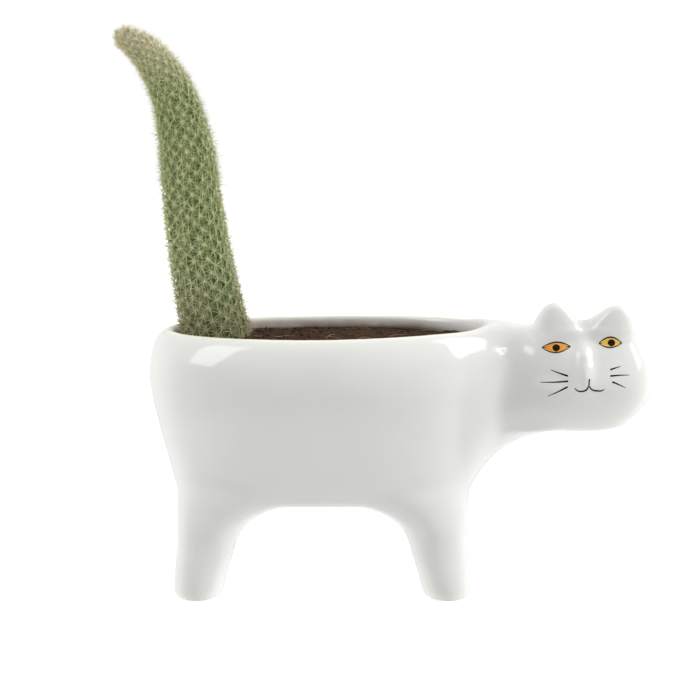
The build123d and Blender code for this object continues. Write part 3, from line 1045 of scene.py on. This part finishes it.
def paint_face(pot):
    """Eyes, whiskers and mouth, brushed onto the glaze."""
    skin = BVHTree.FromPolygons(
        [point.co for point in pot.data.vertices], [face.vertices[:] for face in pot.data.polygons]
    )

    def mark(name, node, outlines, lift, colour):
        """A mark of one or more coats."""
        coats = [enamel_coat(skin, low, high, lift) for low, high in outlines]
        add_piece(name, coats, colour, "planter", node)

    dark = dark_enamel()
    for side, (near, far, top, bottom, pupil) in EYES.items():
        low, high = eyelids(near, far, top, bottom)
        lines = [lid_line(low, LOWER_LID), lid_line(high, UPPER_LID)]
        lines += [corner_wedge(near, far), corner_wedge(far, near)]
        amber = iris_enamel(side)
        mark(side + "_iris_enamel", side + "_iris", [(low, high)], IRIS_LIFT, amber)
        mark(side + "_pupil_enamel", side + "_pupil", [pupil_disc(pupil)], EYE_LIFT, dark)
        mark(side + "_eye_line", side + "_eye_outline", lines, EYE_LIFT, dark)
    for side, hairs in WHISKERS.items():
        lines = [whisker(root, tip) for root, tip in hairs]
        mark(side + "_whisker_lines", side + "_whiskers", lines, LINE_LIFT, dark)
    lines = [stroke(line, [MOUTH_WIDTH * share for share in shares]) for line, shares in MOUTH]
    mark("mouth_line", "mouth", lines, LINE_LIFT, dark)


def soil_top(x, y):
    """Height of the potting mix, heaped a little round the plant."""
    places = np.column_stack([x.ravel(), y.ravel(), np.zeros(x.size)])
    from_ball = np.hypot(places[:, 0] - ROOT_X, places[:, 1]) - ROOT_RADIUS
    heap = HEAP_HEIGHT * np.exp(-((from_ball / HEAP_REACH) ** 2))
    return soil_high[2] + SOIL_RISE + (lumps(places, SOIL_LUMPS) + heap).reshape(x.shape)


def build_soil():
    """Potting mix with a pocket for the root ball."""
    field = Field(soil_low - SOIL_MARGIN[0], soil_high + SOIL_MARGIN[1], SOIL_CELL)
    x, y = np.meshgrid(field.axes[0], field.axes[1], indexing="ij")
    soil = carve(hollow_distance(field, SOIL_GAP), field.z - soil_top(x, y)[:, :, None], SOIL_EDGE)
    soil = np.maximum(soil, soil_low[2] - field.z)
    deep = np.clip((root_high[2] - field.z) / ROOT_TALL, 0, 1)
    radius = ROOT_RADIUS + (ROOT_END - ROOT_RADIUS) * deep + SOIL_GAP
    pocket = np.maximum(np.hypot(field.x - ROOT_X, field.y) - radius, root_low[2] - field.z)
    piece = field.mesh("potting_mix", np.maximum(soil, -pocket))
    dress(piece, potting_mix("potting_mix", SOIL_COLOURS), "planter", "soil")


def in_opening(x, y, clear):
    """Whether a place is clear of the wall and of the plant."""
    rear, front, half, rear_power, front_power = TRUNK[-1][1:]
    along = x - TRUNK_X - WIDEST_X
    inset = WALL + SOIL_GAP + clear
    reach = (rear + WIDEST_X if along < 0 else front - WIDEST_X) - inset
    power = rear_power if along < 0 else front_power
    in_wall = (abs(along) / reach) ** power + (abs(y) / (half - inset)) ** power < 1
    return in_wall and math.hypot(x - ROOT_X, y) > ROOT_RADIUS + SOIL_GAP + clear


def on_soil(count, clear):
    """Random places on the mix."""
    places = []
    while len(places) < count:
        place = draw(soil_low[:2], soil_high[:2])
        if in_opening(*place, clear):
            places.append(place)
    return np.array(places)


def scatter_crumbs():
    """Rough crumbs of bark and peat on the mix."""
    places = on_soil(CRUMBS, CRUMB_CLEAR)
    heights = soil_top(places[:, 0], places[:, 1])
    parts = []
    for (x, y), height in zip(places, heights):
        size = CRUMB_SIZE[0] + CRUMB_SIZE[1] * random.random() ** 2
        points = size * GRAIN_POINTS * draw(*CRUMB_ROUGH, (len(GRAIN_POINTS), 1))
        points *= draw(*CRUMB_STRETCH, 3)
        parts.append((points + (x, y, height + CRUMB_LIFT * size), GRAIN_FACES))
    add_piece("soil_crumbs", parts, potting_mix("soil_crumbs", CRUMB_COLOURS), "planter")


def fibre_line(x, y):
    """A wandering line on the mix, as far as it stays in the opening."""
    turn = draw(0, math.tau)
    bend = draw(-FIBRE_BEND, FIBRE_BEND)
    step = draw(*FIBRE_STEP)
    line = []
    while len(line) < FIBRE_STEPS and in_opening(x, y, FIBRE_EDGE):
        line.append((x, y))
        turn += bend + draw(-FIBRE_BEND, FIBRE_BEND)
        x += step * math.cos(turn)
        y += step * math.sin(turn)
    return np.array(line)


def scatter_fibres():
    """Dry fibres that lie on the mix, bowed up a little."""
    parts = []
    for x, y in on_soil(FIBRES, FIBRE_CLEAR):
        line = fibre_line(x, y)
        if len(line) >= FIBRE_LEAST_STEPS:
            bow = np.sin(np.linspace(0, math.pi, len(line)))
            lift = FIBRE_LIFT[0] + FIBRE_LIFT[1] * random.random() * bow
            height = soil_top(line[:, 0], line[:, 1]) + lift
            parts.append(thread(np.column_stack([line, height]), FIBRE_RADIUS))
    add_piece("dry_fibres", parts, dry_fibre("dry_fibres", FIBRE_COLOURS), "planter")


def ball_side(high):
    """The ball's radius and height at a share of its height."""
    return ROOT_END + (ROOT_RADIUS - ROOT_END) * high, root_low[2] + high * ROOT_TALL


def build_root_ball():
    """The plant's own lump of mix."""
    turn = np.linspace(0, math.tau, BALL_AROUND, endpoint=False)
    profile = BALL_FOOT + [(1.0, high) for high in np.linspace(*BALL_SIDE, BALL_RINGS)] + BALL_TOP
    rings = []
    for share, high in profile:
        radius, height = ball_side(high)
        x = ROOT_X + share * radius * np.cos(turn)
        y = share * radius * np.sin(turn)
        rings.append(np.column_stack([x, y, np.full(BALL_AROUND, height)]))
    points = np.concatenate(rings)
    inward = unit(np.array([ROOT_X, 0, (root_low[2] + root_high[2]) / 2]) - points)
    points = points + inward * (BALL_DENT + lumps(points, BALL_LUMPS))[:, None]
    parts = [(points, tube_faces(len(profile), BALL_AROUND))]
    peat = potting_mix("root_ball_mix", SOIL_COLOURS)
    add_piece("root_ball_mix", parts, peat, "plant", "root_ball")


def grow_roots():
    """Roots that wind down round the root ball."""
    parts = []
    for _ in range(ROOTS):
        turn = draw(0, math.tau)
        high = draw(*ROOT_START)
        line = []
        for _ in range(ROOT_STEPS):
            radius, height = ball_side(high)
            radius -= ROOT_SINK
            line.append((ROOT_X + radius * math.cos(turn), radius * math.sin(turn), height))
            turn += draw(*ROOT_WANDER)
            high = max(ROOT_LOWEST, high - draw(*ROOT_FALL))
        parts.append(thread(line, draw(*ROOT_THICKNESS)))
    add_piece("roots", parts, dry_fibre("roots", FIBRE_COLOURS), "plant")


def stem_frame(along):
    """The stem's middle, radius and directions at distances along it."""
    x, z, radius = curve(STEM, along)
    middle = np.column_stack([x, np.zeros_like(x), z])
    ahead = unit(np.gradient(middle, along, axis=0))
    round_end = np.clip((along - STEM_LENGTH + STEM_TIP) / STEM_TIP, 0, STEM_TIP_MOST)
    return middle, radius * np.sqrt(1 - round_end**2), ahead, np.cross(STEM_ACROSS, ahead)


def stem_points(along, turn, stand):
    """Points on the stem's skin, and the ways that they face."""
    middle, radius, _, out = stem_frame(along)
    away = out[:, None] * np.cos(turn)[..., None] + STEM_ACROSS * np.sin(turn)[..., None]
    return middle[:, None] + away * (radius[:, None] + stand)[..., None], away


def build_stem():
    """The cactus: a fleshy stem of close warts."""
    along = np.linspace(0, STEM_LENGTH, STEM_RINGS)
    turn = np.linspace(0, math.tau, STEM_AROUND, endpoint=False)
    rows = along / STEM_LENGTH * WART_ROWS
    wart = np.cos(math.pi * rows)[:, None] * np.cos(WARTS_ROUND * turn)[None, :]
    stand = WART_HEIGHT * (0.5 + 0.5 * wart) ** WART_SHARPNESS - WART_HEIGHT
    points, _ = stem_points(along, np.broadcast_to(turn, wart.shape), stand)
    parts = [(points.reshape(-1, 3), tube_faces(STEM_RINGS, STEM_AROUND))]
    add_piece("cactus_flesh", parts, cactus_flesh(), "plant", "cactus_stem")


def wart_tops(row):
    """The tops of a row of warts, the ways that they face, and the stem's way there."""
    places = (np.arange(WARTS_ROUND) + 0.5 * (row % 2)) * math.tau / WARTS_ROUND
    places = places + draw(-WART_STRAY, WART_STRAY, WARTS_ROUND)
    near = row / WART_ROWS * STEM_LENGTH + STEM_STEP * np.array([-1, 0, 1])
    spots, away = stem_points(near, np.broadcast_to(places, (len(near), WARTS_ROUND)), 0.0)
    return spots[1], away[1], stem_frame(near)[2][1]


def spine(root, aim, length):
    """A thin closed needle."""
    aim = unit(aim)
    side = unit(np.cross(aim, SPINE_ACROSS))
    other = np.cross(aim, side)
    turns = (0, math.tau / 3, 2 * math.tau / 3)
    base = [root + SPINE_RADIUS * (side * math.cos(t) + other * math.sin(t)) for t in turns]
    return np.array(base + [root + aim * length]), SPINE_FACES


def star(spot, out, ahead, length):
    """The spines of one wart, all round it."""
    across = np.cross(out, ahead)
    spines = []
    for k in range(SPINES):
        swing = math.tau * (k + draw(-SPINE_SWING, SPINE_SWING)) / SPINES
        rise = draw(*(SPINE_FLAT if k % SPINE_EVERY else SPINE_UPRIGHT))
        aim = across * math.cos(swing) + ahead * math.sin(swing) + out * rise
        spines.append(spine(spot, aim, length * draw(*SPINE_SPREAD)))
    return spines


def tip_tuft():
    """The tuft of short spines at the tip."""
    middle, radius, ahead, out = stem_frame(STEM_LENGTH - TUFT_DEPTH * np.array([1, 0.5, 0]))
    side = np.cross(ahead[1], out[1])
    spines = []
    for _ in range(TUFT):
        swing = draw(0, math.tau)
        share = math.sqrt(random.random())
        away = out[1] * math.cos(swing) + side * math.sin(swing)
        root = middle[0] * share + middle[2] * (1 - share) + away * radius[1] * share
        aim = ahead[1] * draw(*TUFT_AHEAD) + away * share + TUFT_STRAY * draw(-1, 1, 3)
        spines.append(spine(root, aim, SPINE_LENGTH * draw(*TUFT_LENGTH)))
    return spines


def build_spines():
    """The stars of spines, their woolly cushions and the tuft."""
    spines = []
    cushions = []
    for row in range(1, WART_ROWS):
        spots, away, ahead = wart_tops(row)
        share = row / WART_ROWS
        length = SPINE_LENGTH * (SPINE_SHARES[0] - SPINE_SHARES[1] * share**3)
        cushion = CUSHION * GRAIN_POINTS * (1 - CUSHION_SHRINK * share)
        for spot, out in zip(spots, away):
            cushions.append((cushion + spot, GRAIN_FACES))
            spines += star(spot, out, ahead, length)
    spines += tip_tuft()
    add_piece("cactus_spines", spines, spine_colour("cactus_spines"), "plant", smooth=False)
    add_piece("cactus_cushions", cushions, spine_colour("cactus_cushions"), "plant")


def foot_wool():
    """Dry wool and shed spines round the stem's foot, on the side of the open mix."""
    parts = []
    floor = root_high[2] + WOOL_LIFT
    for _ in range(WOOL):
        turn = draw(*WOOL_TURN)
        out = np.array([math.cos(turn), math.sin(turn), 0.0])
        place = (STEM[0][1], 0, floor + WOOL_HEIGHT * random.random() ** 2) + (STEM[0][3] - WOOL_SINK) * out
        heading = WOOL_OUT * out + draw(-1, 1, 3)
        line = []
        for _ in range(WOOL_STEPS):
            line.append(place)
            heading = unit(heading) + draw(-WOOL_STRAY, WOOL_STRAY, 3)
            x, y, z = place + WOOL_STEP * heading
            drawn_in = min(1, (ROOT_RADIUS - WOOL_CLEAR) / math.hypot(x - ROOT_X, y))
            place = np.array([ROOT_X + drawn_in * (x - ROOT_X), drawn_in * y, max(z, floor)])
        parts.append(thread(line, draw(*WOOL_RADIUS), WOOL_SIDES))
    add_piece("foot_wool", parts, dry_fibre("foot_wool", WOOL_COLOURS), "plant")


def colour_solids():
    """New materials for the pieces that keep the solids' own shape."""
    for node, slot, colour in (
        ("gravel", "gravel", gravel()),
        ("drain_mesh", "mesh", mesh_plastic()),
        ("drain_plug", "silicone", silicone()),
    ):
        solid = frame["nodes"][node]
        solid.data.materials.clear()
        solid.data.materials.append(colour)


def set_camera():
    """The camera that took the photograph."""
    camera = bpy.data.cameras.new("camera")
    camera.sensor_width = SENSOR
    camera.lens = SENSOR * FOCAL_PIXELS / IMAGE_SIZE
    camera.clip_start = CLIP_START
    viewer = bpy.data.objects.new("camera", camera)
    scene.collection.objects.link(viewer)
    viewer.location = EYE * MM
    viewer.rotation_euler = (math.pi / 2 - TILT, 0, 0)
    scene.camera = viewer


def softbox(name, place, size, power, mirrored):
    """A rectangular light that looks at the planter."""
    light = bpy.data.lights.new(name, "AREA")
    light.shape = "RECTANGLE"
    light.size, light.size_y = size
    light.energy = power
    lamp = bpy.data.objects.new(name, light)
    scene.collection.objects.link(lamp)
    lamp.location = place
    lamp.rotation_euler = (LIGHTS_AIM - Vector(place)).to_track_quat("-Z", "Y").to_euler()
    lamp.visible_glossy = mirrored


def studio_world():
    """A white room, darker on the camera's side, with a bright roof over a white table."""
    world = bpy.data.worlds.new("studio")
    world.use_nodes = True
    nodes = Nodes(world.node_tree)
    where = nodes.add("TexCoord", {}, "Generated")
    back, up = (nodes.add("SeparateXYZ", {"Vector": where}, axis) for axis in "YZ")
    strength = nodes.range(back, ROOM_SPAN, ROOM_LIGHT)
    for span, light in ((ROOF_SPAN, ROOF_LIGHT), (TABLE_SPAN, TABLE_LIGHT)):
        share = nodes.range(up, span, (0.0, 1.0))
        strength = nodes.add("Mix", {"Factor": share, "A": strength, "B": light}, "Result")
    background = world.node_tree.nodes["Background"]
    nodes.feed(background.inputs["Color"], (1, 1, 1))
    nodes.feed(background.inputs["Strength"], strength)
    scene.world = world


def stage_piece(name, points, faces, colour):
    """A piece of the studio that throws no light on the planter."""
    piece = mesh_object(name, points, faces)
    piece.data.materials.append(colour)
    piece.visible_diffuse = False
    piece.visible_glossy = False
    return piece


def build_stage():
    """A round floor, and a backdrop all round and over it."""
    turns = np.linspace(0, math.tau, STUDIO_SIDES, endpoint=False)
    corners = [(STUDIO * math.cos(turn), STUDIO * math.sin(turn)) for turn in turns]
    stage_piece("floor", [(x, y, 0) for x, y in corners], [range(STUDIO_SIDES)], floor_paper())
    walls = [(x, y, z) for z in (BACKDROP_FOOT, STUDIO) for x, y in corners]
    _, roof, *sides = tube_faces(2, STUDIO_SIDES)
    backdrop = stage_piece("backdrop", walls, sides + [roof], backdrop_paper())
    backdrop.visible_shadow = False


paint_face(build_pot())
build_soil()
scatter_crumbs()
scatter_fibres()
build_root_ball()
grow_roots()
build_stem()
build_spines()
foot_wool()
colour_solids()
set_camera()
studio_world()
for name, light in SOFTBOXES.items():
    softbox(name, *light)
build_stage()
scene.view_settings.view_transform = "Standard"
